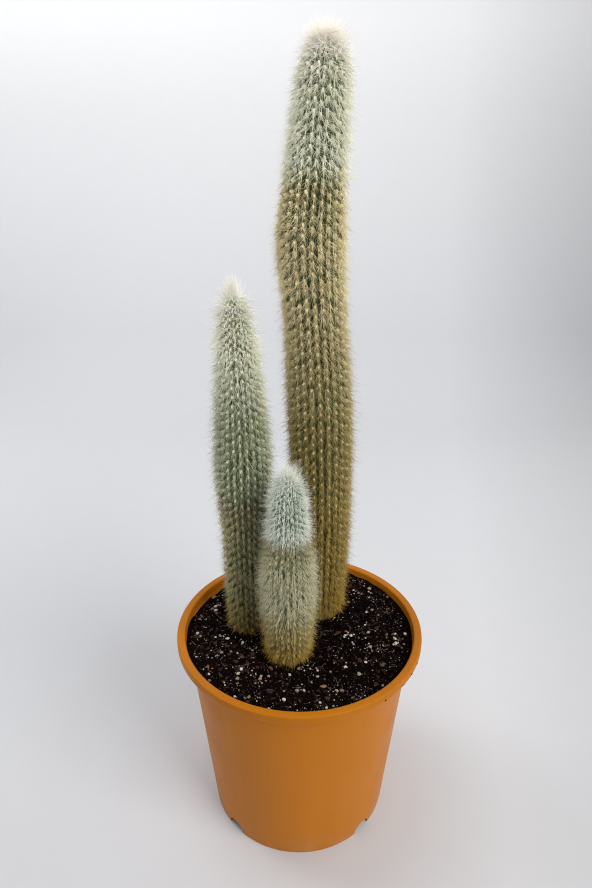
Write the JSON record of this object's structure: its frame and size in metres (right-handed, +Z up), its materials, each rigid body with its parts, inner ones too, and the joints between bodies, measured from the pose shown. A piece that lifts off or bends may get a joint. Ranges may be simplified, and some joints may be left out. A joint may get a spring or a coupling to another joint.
{
  "type": "potted columnar cactus",
  "caption": "Cluster of upright ribbed columnar cactus stems with fine pale spines, growing in a plain tapered plastic nursery pot filled with dark potting mix.",
  "frame": {"origin": "middle of the pot's foot, on the surface that the pot stands on", "axes": "+Z up along the pot and the stems; -Y towards the small front stem; +X to the right of it"},
  "size_m": [0.17, 0.17, 0.515],
  "materials": {
    "pot_plastic": "satin injection-moulded plastic, orange terracotta",
    "potting_mix": "crumbly dark peat mix with white perlite grains",
    "cactus_stem": "ribbed green skin under dense cream to golden spines"
  },
  "bodies": {
    "root": {"pot": "pot_plastic", "soil": "potting_mix", "stem_tall": "cactus_stem", "stem_middle": "cactus_stem", "stem_small": "cactus_stem"}
  },
  "joints": []
}
